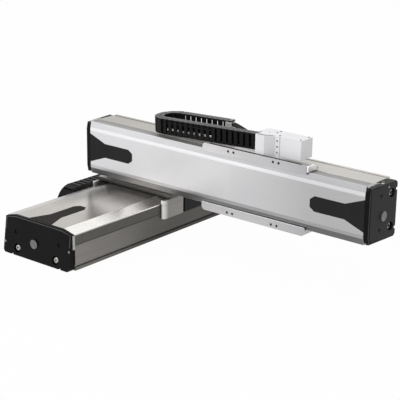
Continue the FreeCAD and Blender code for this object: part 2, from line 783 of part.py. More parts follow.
def make_cables():
    """Two short cables that leave the upper chain's fixed end and enter the base's wall."""
    end = ("upper_carriage_place - upper_chain_end - upper_chain_links * chain_pitch"
           " + fixed_links * chain_pitch + skirt_gap + chain_clamp_thickness + cable_gap")
    middle = "upper_chain_centre - chain_outer + chain_depth / 2"
    slope = Rotation(Vector(0, 0, 1), Vector(read("cable_run"), -read("cable_drop"), 0))
    cables = []
    for place in (-1, 1):
        at = (end, "upper_chain_side + cable_rise", f"{middle} + {place} * cable_pitch / 2")
        cable = rod(f"cable_{place + 1}", "u", "cable_radius", "cable_length", at)
        cable.Placement.Rotation = slope
        cables.append(cable)
    return group("cable_pair", cables)


def make_stage(s, place):
    half = f"{s}_width / 2"
    end = f"{s}_length / 2"
    length = (f"-{end}", f"{s}_length")
    mirror = Placement(Vector(), Rotation(Vector(0, 0, 1), 180))
    carriage = f"{s}_carriage_place"
    edge = f"{s}_cover_edge"

    node(f"{s}_base", make_base(s), place)
    node(f"{s}_cover", make_cover(s), place)
    screws = []
    inlays = []
    for tag, turn in (("far", Placement()), ("near", mirror)):
        node(f"{s}_cap_{tag}", make_cap(s, tag), place * turn)
        screws.append(group(f"{s}_screws_{tag}", cap_screws(s, tag)))
        inlays.append(group(f"{s}_inlay_turn_{tag}", [make_inlay(s, tag)]))
        screws[-1].Placement = turn
        inlays[-1].Placement = turn
    node(f"{s}_cap_screws", group(f"{s}_screw_set", screws), place)
    node(f"{s}_inlays", group(f"{s}_inlay_pair", inlays), place)

    rails = []
    for side in (-1, 1):
        width = (f"{side} * {s}_rail_offset - rail_width / 2", "rail_width")
        rails.append(block(f"{s}_rail_{side + 1}", length, width, ("floor_thickness", "rail_height")))
    node(f"{s}_rails", group(f"{s}_rail_pair", rails), place)
    bearings = [make_bearing(s, f"{s}_bearing_{place_u + 1}_{place_v + 1}", place_u, place_v)
                for place_u in (-1, 1) for place_v in (-1, 1)]
    node(f"{s}_bearing_blocks", group(f"{s}_bearing_set", bearings), place)

    magnet_half = f"{s}_magnet_half"
    magnet_width = (f"-{magnet_half}", f"2 * {magnet_half}")
    track = [block(f"{s}_yoke", length, magnet_width, ("floor_thickness", "yoke_height"))]
    for index in range(int(read(f"{s}_length / magnet_pitch"))):
        start = f"-{end} + {index} * magnet_pitch + (magnet_pitch - magnet_length) / 2"
        track.append(block(f"{s}_magnet_{index}", (start, "magnet_length"), magnet_width,
                           ("floor_thickness + yoke_height", "magnet_height")))
    node(f"{s}_magnet_track", group(f"{s}_track_set", track), place)
    coil_low = "floor_thickness + yoke_height + magnet_height + air_gap"
    under = f"{edge} - slot_clearance - saddle_thickness"
    node(f"{s}_coil", block(f"{s}_coil_core", (f"{carriage} - coil_length / 2", "coil_length"),
                            (f"-{magnet_half} + coil_inset", f"2 * ({magnet_half} - coil_inset)"),
                            (coil_low, f"{under} - ({coil_low})")), place)
    node(f"{s}_saddle", make_saddle(s), place)

    seal_rise = (f"{s}_wall_top", f"{edge} - 2 * slot_clearance - saddle_thickness - {s}_wall_top")
    seal_starts = {"plus": f"{half} - seal_inset", "minus": f"-{half} + seal_inset - seal_thickness"}
    seals = [block(f"{s}_seal_{side}", length, (start, "seal_thickness"), seal_rise)
             for side, start in seal_starts.items()]
    node(f"{s}_slot_seals", group(f"{s}_seal_pair", seals), place)
    clamp_rise = (f"{s}_wall_top - clamp_drop", f"{edge} - {s}_wall_top + clamp_drop")
    clamps = [block(f"{s}_clamp_{side}_{tag}", (at, "clamp_length"), (start, "clamp_width"), clamp_rise)
              for tag, at in (("far", end), ("near", f"-{end} - clamp_length"))
              for side, start in (("plus", f"{half} - clamp_width"), ("minus", f"-{half}"))]
    node(f"{s}_seal_clamps", group(f"{s}_clamp_set", clamps), place)

    bumpers = [block(f"{s}_bumper_{tag}_{side + 1}", (at, "bumper_length"),
                     (f"{side} * {s}_rail_offset - bumper_width / 2", "bumper_width"),
                     ("bumper_level - bumper_width / 2", "bumper_width"))
               for tag, at in (("far", f"{end} - bumper_length"), ("near", f"-{end}")) for side in (-1, 1)]
    node(f"{s}_bumpers", group(f"{s}_bumper_set", bumpers), place)
    wall = f"{half} - wall_thickness"
    node(f"{s}_scale", block(f"{s}_scale_strip", length, (f"{wall} - scale_thickness", "scale_thickness"),
                             ("scale_level", "scale_height")), place)
    node(f"{s}_read_head", block(f"{s}_head_body",
                                 (f"{carriage} + leg_length / 2 + slot_clearance", "head_length"),
                                 (f"{wall} - scale_thickness - head_gap - head_width", "head_width"),
                                 ("head_foot", f"{under} - head_foot")), place)

    bend_at = f"{carriage} - {s}_chain_end - {s}_chain_links * chain_pitch"
    pivot = Vector(read(f"{carriage} - {s}_chain_end"), read(f"{s}_chain_side"), 0)
    sag = place * Placement(Vector(), Rotation(Vector(0, 0, 1), read(f"{s}_chain_sag")), pivot)
    high = f"{s}_chain_centre + chain_outer - chain_depth"
    low = f"{s}_chain_centre - chain_outer"
    node(f"{s}_chain_moving", make_run(s, "moving", bend_at, f"{s}_chain_links", high), sag)
    node(f"{s}_chain_fixed", make_run(s, "fixed", bend_at, "fixed_links", low), sag)
    node(f"{s}_chain_bend", make_bend(s), sag)
    node(f"{s}_chain_clamp", make_chain_clamp(s), place)
    node(f"{s}_box_bracket", make_box_bracket(s), place)
    node(f"{s}_box_body", make_box(s), place)
    node(f"{s}_box_lid", make_lid(s), place)
    node(f"{s}_box_screws", make_box_screws(s), place)


lower_place = Placement()
upper_turn = Rotation(Vector(0, -1, 0), Vector(0, 0, 1), Vector(-1, 0, 0))
upper_origin = Vector(read("upper_back_place"), read("upper_centre_place"), read("upper_axis_height"))
upper_place = Placement(upper_origin, upper_turn)

make_stage("lower", lower_place)
for side, tag in ((-1, "front"), (1, "chain")):
    node(f"lower_flange_{tag}", make_lower_flange(side), lower_place)
node("lower_side_skirts", make_skirts(), lower_place)
for label, piece in make_bracket().items():
    node(label, piece, lower_place)
make_stage("upper", upper_place)
for side, tag in ((-1, "low"), (1, "chain")):
    node(f"upper_flange_{tag}", make_upper_flange(side), upper_place)
node("upper_end_block", make_end_block(), upper_place)
node("upper_cables", make_cables(), upper_place)

doc.recompute()
for item in doc.Objects:
    if "Invalid" in item.State or "Error" in item.State:
        raise RuntimeError(f"{item.Name} failed: {item.State}")
for item in nodes:
    if item.Shape.isNull() or not item.Shape.isValid():
        raise RuntimeError(f"{item.Label} has no valid shape")

os.makedirs("parts", exist_ok=True)
for item in nodes:
    item.Shape.exportStep(f"parts/{item.Label}.step")
print(len(nodes), "nodes")
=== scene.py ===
import json
import math
import bmesh
import bpy
from mathutils import Matrix, Vector

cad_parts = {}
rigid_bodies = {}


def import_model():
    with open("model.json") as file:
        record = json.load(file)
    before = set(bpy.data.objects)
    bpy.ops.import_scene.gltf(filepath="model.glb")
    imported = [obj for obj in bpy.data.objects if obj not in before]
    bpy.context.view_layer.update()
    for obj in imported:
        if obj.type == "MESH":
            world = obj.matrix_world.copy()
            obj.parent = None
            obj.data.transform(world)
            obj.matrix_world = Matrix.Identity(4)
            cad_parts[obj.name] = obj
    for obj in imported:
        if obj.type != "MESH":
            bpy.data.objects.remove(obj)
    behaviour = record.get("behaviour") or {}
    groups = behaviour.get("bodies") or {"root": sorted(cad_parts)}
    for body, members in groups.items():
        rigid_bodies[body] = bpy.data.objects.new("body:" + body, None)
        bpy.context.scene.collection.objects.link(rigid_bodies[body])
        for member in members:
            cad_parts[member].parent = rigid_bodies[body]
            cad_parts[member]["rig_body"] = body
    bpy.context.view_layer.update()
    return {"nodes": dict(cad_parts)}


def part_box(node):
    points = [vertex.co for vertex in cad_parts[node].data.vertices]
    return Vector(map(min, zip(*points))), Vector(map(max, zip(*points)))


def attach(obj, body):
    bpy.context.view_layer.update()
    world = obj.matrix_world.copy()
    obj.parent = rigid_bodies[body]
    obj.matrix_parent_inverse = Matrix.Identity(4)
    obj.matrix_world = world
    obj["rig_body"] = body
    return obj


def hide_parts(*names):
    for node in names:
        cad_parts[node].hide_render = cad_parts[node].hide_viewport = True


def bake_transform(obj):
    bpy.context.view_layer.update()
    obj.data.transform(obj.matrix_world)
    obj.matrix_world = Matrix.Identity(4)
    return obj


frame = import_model()
nodes = frame["nodes"]
scene = bpy.context.scene
print("frame loaded:", len(nodes), "nodes")


class Wire:  # a shader socket that takes part in Python sums
    def __init__(self, shading, socket):
        self.shading = shading
        self.socket = socket

    def __add__(self, other):
        return self.shading.maths("ADD", self, other)

    def __radd__(self, other):
        return self.shading.maths("ADD", other, self)

    def __sub__(self, other):
        return self.shading.maths("SUBTRACT", self, other)

    def __rsub__(self, other):
        return self.shading.maths("SUBTRACT", other, self)

    def __mul__(self, other):
        return self.shading.maths("MULTIPLY", self, other)

    def __rmul__(self, other):
        return self.shading.maths("MULTIPLY", other, self)


class Shading:  # a node tree with its shader, whose other nodes come from one method
    def __init__(self, tree, shader):
        self.tree = tree
        self.shader = tree.nodes[shader]

    def add(self, kind, settings=None, inputs=None, out=0):
        node = self.tree.nodes.new(kind)
        for key, value in (settings or {}).items():
            setattr(node, key, value)
        for key, value in (inputs or {}).items():
            if isinstance(value, Wire):
                self.tree.links.new(value.socket, node.inputs[key])
            else:
                node.inputs[key].default_value = value
        return Wire(self, node.outputs[out])

    def feed(self, socket, wire):
        self.tree.links.new(wire.socket, self.shader.inputs[socket])

    def maths(self, operation, first, second=0.0):
        return self.add("ShaderNodeMath", {"operation": operation}, {0: first, 1: second})

    def seen(self):  # 1 for the camera, straight or by mirror or glass, and 0 for light that falls on pieces
        path = self.add("ShaderNodeLightPath", out="Is Camera Ray")
        for ray in ("Is Glossy Ray", "Is Transmission Ray"):
            path = self.maths("MAXIMUM", path, self.add("ShaderNodeLightPath", out=ray))
        return path


class Finish(Shading):  # one material with its pattern nodes
    def __init__(self, name, **fixed):
        self.material = bpy.data.materials.new(name)
        self.material.use_nodes = True
        super().__init__(self.material.node_tree, "Principled BSDF")
        for socket, value in fixed.items():
            self.shader.inputs[socket.replace("_", " ")].default_value = value
        self.place = self.add("ShaderNodeTexCoord", out="Object")

    def noise(self, scale, detail, stretch=(1, 1, 1)):
        at = self.add("ShaderNodeMapping", None, {"Vector": self.place, "Scale": stretch})
        return self.add("ShaderNodeTexNoise", None, {"Vector": at, "Scale": scale, "Detail": detail})

    def axis(self, letter):
        return self.add("ShaderNodeSeparateXYZ", None, {0: self.place}, letter)

    def spread(self, wire, low, high):  # values from low to high become 0 to 1, and stay there beyond
        return self.add("ShaderNodeMapRange", None, {"Value": wire, "From Min": low, "From Max": high})

    def tint(self, factor, first, second):
        return self.add("ShaderNodeMix", {"data_type": "RGBA"}, {0: factor, 6: first, 7: second}, 2)

    def bump(self, height, strength, distance):
        self.feed("Normal", self.add("ShaderNodeBump", None,
                                     {"Height": height, "Strength": strength, "Distance": distance}))


def tone(code):  # screen colour to scene colour
    parts = [int(code[at:at + 2], 16) / 255 for at in (0, 2, 4)]
    return [part / 12.92 if part < 0.04045 else ((part + 0.055) / 1.055) ** 2.4 for part in parts] + [1]


def paintedLightFade(axis, start, end, dark, light, *paintedFades):  # painted light or shade: a second pair of tones, reached along an axis
    return {"axis": axis, "from": start, "to": end, "dark": dark, "light": light, "paintedFades": paintedFades}


def withPaintedLight(finish, mixed, look):  # a grain between two tones, then the painted light or shade of its fades in turn
    colour = finish.tint(mixed, tone(look["dark"]), tone(look["light"]))
    for step in look.get("paintedFades", []):
        share = finish.spread(finish.axis(step["axis"]), step["from"], step["to"])
        colour = finish.tint(share, colour, withPaintedLight(finish, mixed, step))
    return colour


metalGrain = {
    "stretch": 60, "fineDetail": 3.0, "cloudDetail": 2.0, "fineShare": 0.6, "contrast": (0.35, 0.65),
    "depth": 0.0002,
}
coatGrain = {
    "fineDetail": 2.0, "cloudDetail": 3.0, "fineShare": 0.45, "contrast": (0.35, 0.65), "depth": 0.0004,
}


def mixedNoise(finish, fine, cloud, grain):
    share = grain["fineShare"]
    return finish.spread(fine * share + cloud * (1 - share), *grain["contrast"])


def drawnMetal(name, look):  # rolled, extruded or milled aluminium with streaks along one axis
    finish = Finish(name, Metallic=look["metal"])
    scales = [look["fine"]] * 3
    scales["xyz".index(look["along"])] = look["fine"] / metalGrain["stretch"]
    streak = finish.noise(1.0, metalGrain["fineDetail"], scales)
    cloud = finish.noise(look["cloud"], metalGrain["cloudDetail"])
    colour = withPaintedLight(finish, mixedNoise(finish, streak, cloud, metalGrain), look)
    if "seam" in look:  # a fine joint line across the piece
        seam = look["seam"]
        off = finish.maths("ABSOLUTE", finish.axis(seam["axis"]) - seam["at"])
        line = finish.maths("LESS_THAN", off, seam["half"])
        colour = finish.tint(line, colour, tone(seam["tone"]))
    finish.feed("Base Color", colour)
    finish.feed("Roughness", look["rough"] + (streak - 0.5) * look["roughSpread"])
    finish.bump(streak, look["bump"], metalGrain["depth"])
    return finish.material


def coated(name, look):  # paint, powder coat, plated steel or moulded plastic with a fine grain
    finish = Finish(name, Metallic=look.get("metal", 0.0), Specular_IOR_Level=look.get("shine", 0.5))
    grain = finish.noise(look["grain"], coatGrain["fineDetail"])
    cloud = finish.noise(look["cloud"], coatGrain["cloudDetail"])
    finish.feed("Base Color", withPaintedLight(finish, mixedNoise(finish, grain, cloud, coatGrain), look))
    finish.feed("Roughness", look["rough"] + (cloud - 0.5) * look["roughSpread"])
    finish.bump(grain, look["bump"], coatGrain["depth"])
    return finish.material


# what several finishes share
sheet = {"fine": 900, "cloud": 5, "roughSpread": 0.1, "bump": 0.04}
extruded = {"fine": 500, "cloud": 7, "rough": 0.36, "roughSpread": 0.2, "bump": 0.12}
milled = {"fine": 700, "cloud": 9, "rough": 0.42, "roughSpread": 0.15, "bump": 0.08}
powder = {"grain": 1500, "cloud": 12, "roughSpread": 0.12, "bump": 0.10}
film = {"grain": 2200, "cloud": 10, "rough": 0.55, "roughSpread": 0.1, "bump": 0.05, "shine": 0.06}
nylon = {"grain": 900, "cloud": 60, "roughSpread": 0.2, "bump": 0.08}
boxCoat = {"grain": 700, "cloud": 15, "rough": 0.45, "roughSpread": 0.1, "bump": 0.05, "shine": 0.3}
sealStrip = {"grain": 1400, "cloud": 30, "rough": 0.45, "roughSpread": 0.1, "bump": 0.08, "shine": 0.4}
finishes = {
    # painted reflection and shade: the cover sheet turns lighter towards the upper stage, darker on its far
    # side, and darker again in the shade beside the carriage
    "lowerCover": drawnMetal("lowerCoverSheet", {
        **sheet, "along": "x", "dark": "B3AFAA", "light": "BFBBB6", "metal": 0.9, "rough": 0.26,
        "roughSpread": 0.06, "bump": 0.03, "paintedFades": [
            paintedLightFade("X", -0.36, -0.26, "DEDAD5", "E8E4DF",
                 paintedLightFade("X", -0.245, -0.2, "F4F0EB", "FCF8F3"), paintedLightFade("Y", 0.005, 0.06, "969390", "A09D9A")),
            paintedLightFade("X", -0.158, -0.14, "A29F9B", "ACA9A5")]}),
    # painted highlight: the slope facing the near side is a brighter copy of the cover sheet, darker from X
    # -0.37 on
    "lowerSlope": drawnMetal("lowerCoverSlope", {
        **sheet, "along": "x", "dark": "F0EEEA", "light": "FAF8F4", "metal": 0.8, "rough": 0.28,
        "roughSpread": 0.08, "bump": 0.03, "paintedFades": [paintedLightFade("X", -0.37, -0.28, "C4C1BE", "CFCCC9")]}),
    # painted shade: the upper cover's face darkens towards the far end
    "upperCover": drawnMetal("upperCoverSheet", {
        **sheet, "along": "y", "dark": "DADADC", "light": "E0E0E2", "metal": 0.85, "rough": 0.46,
        "paintedFades": [paintedLightFade("Y", -0.36, -0.62, "B8B7B8", "C0BFC0")]}),
    # painted highlight: the top crease is a bright line, dimmer towards the far end
    "upperCrease": drawnMetal("upperCoverCrease", {
        **sheet, "along": "y", "dark": "F0F0F2", "light": "F8F8FA", "metal": 0.8, "rough": 0.25, "bump": 0.03,
        "paintedFades": [paintedLightFade("Y", -0.42, -0.58, "DADADC", "E2E2E4")]}),
    # painted highlight: the top slope is a lighter copy of the sheet, darker towards the far end
    "upperTopSlope": drawnMetal("upperCoverTopSlope", {
        **sheet, "along": "y", "dark": "CECED0", "light": "D8D8DA", "metal": 0.85, "rough": 0.32,
        "paintedFades": [paintedLightFade("Y", 0.0, -0.58, "AAAAAC", "B4B4B6")]}),
    # painted shade: the low slope that looks down is a dark copy of the sheet, darker still towards the far
    # end
    "upperLowSlope": drawnMetal("upperCoverLowSlope", {
        **sheet, "along": "y", "dark": "7C7B7B", "light": "888787", "metal": 0.85, "rough": 0.34,
        "paintedFades": [paintedLightFade("Y", -0.30, -0.62, "6A6969", "767575")]}),
    # painted light: the low crease is a copy between the face and the low slope, darker towards the far end
    "upperLowCrease": drawnMetal("upperCoverLowCrease", {
        **sheet, "along": "y", "dark": "C6C6C8", "light": "CECED0", "metal": 0.85, "rough": 0.38,
        "paintedFades": [paintedLightFade("Y", -0.15, -0.45, "A6A6A8", "AEAEB0")]}),
    # painted shade: the wall darkens towards +X, where the upper stage shades it; it is also darker towards
    # the bottom, and that band darkens along X as well
    "lowerWall": drawnMetal("lowerWallExtrusion", {
        **extruded, "along": "x", "dark": "7A7773", "light": "8C8985", "metal": 0.85, "paintedFades": [
            paintedLightFade("X", -0.42, -0.1, "4E4C49", "5A5855"),
            paintedLightFade("Z", 0.011, 0.0095, "686562", "74716E", paintedLightFade("X", -0.42, -0.15, "3A3836", "464442"))]}),
    # painted light: the upper wall is lighter towards the stage's far end
    "upperWall": drawnMetal("upperWallExtrusion", {
        **extruded, "along": "y", "dark": "A5A19C", "light": "B5B1AC", "metal": 0.7,
        "paintedFades": [paintedLightFade("Y", 0.1, -0.7, "C0BDB8", "D0CDC8")]}),
    # painted shade: a darker copy of the upper extrusion for its faces that look down
    "upperUnderside": drawnMetal("upperUndersideExtrusion", {
        **extruded, "along": "y", "dark": "484643", "light": "54524F", "metal": 0.7}),
    # painted shade: the flange darkens towards the far end
    "flange": drawnMetal("milledFlange", {
        **milled, "along": "y", "dark": "D6D4D5", "light": "E0DEDF", "metal": 0.6, "rough": 0.38,
        "paintedFades": [paintedLightFade("Y", -0.3, -0.6, "B4B3B5", "BEBDBF")]}),
    # painted highlight on the near rounded corner, fading to painted shade beyond it; the seam is a joint
    # line
    "lowerFlange": drawnMetal("milledEndBlock", {
        **milled, "along": "z", "dark": "E2DFDD", "light": "F0EDEB", "metal": 0.6, "rough": 0.34,
        "paintedFades": [paintedLightFade("X", -0.1365, -0.118, "86837F", "92908D")],
        "seam": {"axis": "Z", "at": 0.0938, "half": 0.0004, "tone": "6E6C69"}}),
    "plate": drawnMetal("milledPlate", {
        **milled, "along": "x", "dark": "B4B2AF", "light": "C4C2BF", "metal": 0.6, "rough": 0.4}),
    "bracket": drawnMetal("bracketGreyAnodised", {
        **milled, "along": "y", "dark": "53514E", "light": "605E5B", "metal": 0.5}),
    # painted shade under the upper stage: the cross plate's front darkens towards its foot
    "crossFront": drawnMetal("crossPlateFront", {
        **milled, "along": "y", "dark": "5C5A57", "light": "686663", "metal": 0.5,
        "paintedFades": [paintedLightFade("Z", 0.118, 0.109, "2A2928", "323130")]}),
    # painted light and shade: the riser is light at its top and darker towards its foot
    "riserFront": drawnMetal("riserAnodisedPaintedShade", {
        **milled, "along": "y", "dark": "6A6865", "light": "767471", "metal": 0.4,
        "paintedFades": [paintedLightFade("Z", 0.120, 0.138, "C4C1BE", "D0CDCA")]}),
    # painted light: a lighter copy for the cross plate's top, which the upper stage shades, turning to the
    # bracket tone from X -0.05
    "bracketFoot": drawnMetal("bracketFootAnodisedPaintedLight", {
        **milled, "along": "y", "dark": "D0CDCA", "light": "DCD9D6", "metal": 0.4,
        "paintedFades": [paintedLightFade("X", -0.05, -0.03, "53514E", "605E5B")]}),
    # lit and shaded copies of the caps' powder coat: the upper caps' copy is lighter as painted light
    "lowerCap": coated("lowerCapPowderCoat", {
        **powder, "dark": "0D0D0D", "light": "141414", "rough": 0.42, "shine": 0.07}),
    "upperCap": coated("upperCapPowderCoat", {
        **powder, "dark": "242424", "light": "2C2C2C", "rough": 0.5, "shine": 0.15}),
    # painted highlight: a paler copy of the powder coat on the caps' eased edges and the lower caps' rim bead
    "capEdge": coated("capEdgePaintedHighlight", {
        **powder, "dark": "484848", "light": "5E5E5E", "rough": 0.4, "cloud": 40, "bump": 0.08}),
    # lit and shaded copies of the inlay film: the lower one darker and the upper one lighter, to offset how
    # light falls on each
    "lowerInlay": coated("lowerInlayFilm", {**film, "dark": "1E1B1A", "light": "262321"}),
    "upperInlay": coated("upperInlayFilm", {**film, "dark": "252424", "light": "2D2C2C"}),
    # the side skirts are near black, which also stands in as painted shade for the shadow under the upper
    # stage
    "skirt": coated("skirtBlackPaintedShade", {
        "dark": "100F0E", "light": "181716", "rough": 0.45, "roughSpread": 0.1, "grain": 1200, "cloud": 12,
        "bump": 0.06, "shine": 0.15}),
    "chain": coated("chainPolyamide", {
        **nylon, "dark": "0C0C0C", "light": "141414", "rough": 0.42, "shine": 0.10}),
    # painted highlight: a paler, lit copy of the chain's nylon for the plates' outer sides
    "chainPlateHighlight": coated("chainSidePlatePaintedHighlight", {
        **nylon, "dark": "343434", "light": "404040", "rough": 0.4, "shine": 0.4}),
    "box": coated("boxWhiteCoat", {**boxCoat, "dark": "E6E6E8", "light": "EDEDEF"}),
    # painted shade: a darker copy of the box paint for the bracket's slanted face
    "boxShade": coated("boxSlopeShade", {**boxCoat, "dark": "D0D0D2", "light": "D8D8DA"}),
    "blackScrew": coated("blackOxideSteel", {
        "metal": 0.6, "dark": "303030", "light": "404040", "rough": 0.4, "roughSpread": 0.1, "grain": 1800,
        "cloud": 200, "bump": 0.04}),
    "zinc": coated("zincSteel", {
        "metal": 1.0, "dark": "9C9C97", "light": "BEBEB9", "rough": 0.28, "roughSpread": 0.2, "grain": 1800,
        "cloud": 200, "bump": 0.04}),
    "badge": coated("bareBadgeDisc", {
        "metal": 0.8, "dark": "666666", "light": "7E7E7E", "rough": 0.4, "roughSpread": 0.15, "grain": 2400,
        "cloud": 150, "bump": 0.05}),
    "steel": coated("groundSteel", {
        "metal": 1.0, "dark": "8E8E8E", "light": "A6A6A6", "rough": 0.25, "roughSpread": 0.15, "grain": 1800,
        "cloud": 60, "bump": 0.04}),
    "nickel": coated("nickelMagnet", {
        "metal": 1.0, "dark": "989488", "light": "B0AC9E", "rough": 0.3, "roughSpread": 0.15, "grain": 1500,
        "cloud": 40, "bump": 0.04}),
    "resin": coated("coilResin", {
        "dark": "1E1E22", "light": "2A2A2F", "rough": 0.35, "roughSpread": 0.15, "grain": 500, "cloud": 30,
        "bump": 0.1}),
    "lowerSeal": coated("lowerSlotSealStrip", {**sealStrip, "dark": "514F4B", "light": "5B5955"}),
    "upperSeal": coated("upperSlotSealStrip", {**sealStrip, "dark": "8E8D8B", "light": "9A9997"}),
    "endBlock": coated("endBlockPolished", {
        "metal": 0.85, "dark": "F0F0F0", "light": "FAFAFA", "rough": 0.3, "roughSpread": 0.1, "grain": 900,
        "cloud": 60, "bump": 0.04}),
    "rubber": coated("blackRubber", {
        "dark": "131313", "light": "1C1C1C", "rough": 0.6, "roughSpread": 0.1, "grain": 1400, "cloud": 30,
        "bump": 0.15, "shine": 0.3}),
    "clampGrey": coated("clampMoulded", {
        "dark": "B4B4B2", "light": "C2C2C0", "rough": 0.5, "roughSpread": 0.1, "grain": 1200, "cloud": 40,
        "bump": 0.06}),
}
print("finishes made:", len(finishes))


def addPiece(name, bm, finish, body, angle=35):  # edges sharper than the angle stay sharp
    mesh = bpy.data.meshes.new(name)
    bm.to_mesh(mesh)
    bm.free()
    mesh.shade_smooth()
    if angle:
        mesh.set_sharp_from_angle(angle=math.radians(angle))
    for part in [finish] if isinstance(finish, str) else finish:
        mesh.materials.append(finishes[part])
    piece = bpy.data.objects.new(name, mesh)
    scene.collection.objects.link(piece)
    if body:
        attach(piece, body)
    return piece


easeLook = {  # distance in metres, angles in degrees
    "merge": 0.00001, "flat": 0.5, "bent": 5, "sharp": 35, "edgeSteps": 2, "creaseSteps": 4, "within": 0.995,
}


def mergedCopy(node):  # the CAD node's mesh with its triangles joined up
    bm = bmesh.new()
    bm.from_mesh(nodes[node].data)
    bmesh.ops.remove_doubles(bm, verts=bm.verts, dist=easeLook["merge"])
    return bm


def bevelEdges(bm, edges, width, steps):
    made = bmesh.ops.bevel(bm, geom=edges, offset=width, offset_type="OFFSET", affect="EDGES", segments=steps,
                           profile=0.5, material=-1, clamp_overlap=True)
    return made["faces"]


def paint(faces, used, finish):  # set faces to a finish of the piece's list, which grows where it has to
    if finish not in used:
        used.append(finish)
    for face in faces:
        face.material_index = used.index(finish)


def softCopy(node, look):  # a CAD node with its edges eased
    bm = mergedCopy(node)
    flat, bent, sharp = (math.radians(easeLook[key]) for key in ("flat", "bent", "sharp"))
    bmesh.ops.dissolve_limit(bm, angle_limit=flat, verts=bm.verts, edges=bm.edges)
    mark = bm.faces.layers.int.new("eased")
    used = [look["finish"]]
    edgeFinish = look.get("edge", look["finish"])
    rounds = [((edgeFinish, edgeFinish), look["width"], easeLook["edgeSteps"], sharp, math.pi)]
    if "crease" in look:  # the sheet's long bends come first
        pair = (look["crease"], look.get("creaseAway", look["crease"]))
        rounds.insert(0, (pair, look["creaseWidth"], easeLook["creaseSteps"], bent, sharp))
    for (near, away), width, steps, least, most in rounds:
        joined = [edge for edge in bm.edges if len(edge.link_faces) == 2]
        chosen = [edge for edge in joined if least < edge.calc_face_angle() <= most]
        made = bevelEdges(bm, chosen, width, steps)
        for face in made:
            face[mark] = 1
        # bevel faces take painted light: the near finish, or the away finish where they face away from
        # creaseToward
        paint(made, used, near)
        toward = look.get("creaseToward")
        paint([face for face in made if toward and face.normal.dot(Vector(toward)) <= 0], used, away)
    plain = [face for face in bm.faces if not face[mark]]
    for finish, toward in look.get("sides", {}).items():  # faces that look one way take their own finish, a lit or shaded copy: painted light or shade by facing
        within = look.get("within", easeLook["within"])
        paint([face for face in plain if face.normal.dot(Vector(toward)) > within], used, finish)
    if "holes" in look:  # painted shade: small faces, as in holes, take a dark finish
        paint([face for face in plain if face.calc_area() < look["holeArea"]], used, look["holes"])
    for edge in bm.edges:  # flat faces keep their own shading beside the eased edges
        sides = [face[mark] for face in edge.link_faces]
        edge.smooth = len(sides) == 2 and sides[0] == sides[1] and edge.calc_face_angle() < sharp
    bm.faces.layers.int.remove(mark)
    piece = addPiece(f"{node}_eased", bm, used, nodes[node]["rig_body"], angle=None)
    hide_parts(node)


easedNodes = {  # width of the eased edge in metres, and the finish
    "lower_base": (0.0006, "lowerWall"), "upper_base": (0.0006, "upperWall"),
    "lower_cover": (0.0005, "lowerCover"), "upper_cover": (0.0005, "upperCover"),
    "lower_cap_near": (0.0012, "lowerCap"), "lower_cap_far": (0.0012, "lowerCap"),
    "upper_cap_near": (0.0012, "upperCap"), "upper_cap_far": (0.0012, "upperCap"),
    "lower_flange_front": (0.0030, "lowerFlange"), "lower_flange_chain": (0.0030, "lowerFlange"),
    "upper_flange_low": (0.0008, "flange"), "upper_flange_chain": (0.0008, "flange"),
    "upper_end_block": (0.0012, "endBlock"),
    "lower_side_skirts": (0.0008, "skirt"),
    "cross_plate": (0.0008, "bracket"), "riser": (0.0008, "riserFront"),
    "back_plate": (0.0010, "bracket"), "gussets": (0.0010, "bracket"), "bracket_bolts": (0.0006, "zinc"),
    "lower_seal_clamps": (0.0005, "clampGrey"), "upper_seal_clamps": (0.0005, "clampGrey"),
    "lower_chain_clamp": (0.0005, "zinc"), "upper_chain_clamp": (0.0005, "clampGrey"),
    "lower_box_body": (0.0008, "box"), "upper_box_body": (0.0008, "box"),
    "lower_box_lid": (0.0006, "box"), "upper_box_lid": (0.0006, "box"),
    "lower_box_bracket": (0.0006, "box"), "upper_box_bracket": (0.0006, "box"),
    "lower_saddle": (0.0006, "plate"), "upper_saddle": (0.0006, "plate"),
}
easedExtras = {  # long bends, edges and slopes with a finish of their own: painted highlights on edges and bends, painted light or shade on slopes, painted shade in holes
    # painted shade on the upper base's faces that look down
    "upper_base": {"sides": {"upperUnderside": (0, 0, -1)}},
    # painted light and shade by facing: the creases and the top and low slopes take the lit and shaded copies
    "upper_cover": {"crease": "upperCrease", "creaseAway": "upperLowCrease", "creaseWidth": 0.0048,
                    "creaseToward": (0, 0, 1),
                    "sides": {"upperTopSlope": (-0.978, 0, 0.210), "upperLowSlope": (-0.978, 0, -0.210)}},
    # painted highlight: crease faces that look towards -Y, and the near slope, take the brighter slope copy
    "lower_cover": {"crease": "lowerSlope", "creaseAway": "lowerCover", "creaseWidth": 0.0020,
                    "creaseToward": (0, -1, 0),
                    "sides": {"lowerSlope": (0, -0.224, 0.975)}},
    # the cross plate's top takes painted light, its front painted shade
    "cross_plate": {"sides": {"bracketFoot": (0, 0, 1), "crossFront": (-1, 0, 0)}},
    "upper_box_bracket": {"sides": {"boxShade": (-0.848, -0.530, 0)}},
    **{f"lower_cap_{end}": {"edge": "capEdge"} for end in ("near", "far")},
    # painted shade: faces of the upper caps that look towards -X take the darker lower cap copy
    **{f"upper_cap_{end}": {"edge": "capEdge", "sides": {"lowerCap": (-1, 0, 0)}, "within": 0.9,
                            "holes": "rubber", "holeArea": 0.00013} for end in ("near", "far")},
}
for node, (width, finish) in easedNodes.items():
    softCopy(node, {"width": width, "finish": finish, **easedExtras.get(node, {})})
plainNodes = {  # CAD pieces that keep their own mesh, by the end of their name
    "rails": "steel", "bearing_blocks": "steel", "magnet_track": "nickel", "coil": "resin",
    "bumpers": "rubber", "scale": "steel", "read_head": "lowerCap",
}
plainFinishes = {f"{stage}_{tail}": finish for tail, finish in plainNodes.items()
                 for stage in ("lower", "upper")}
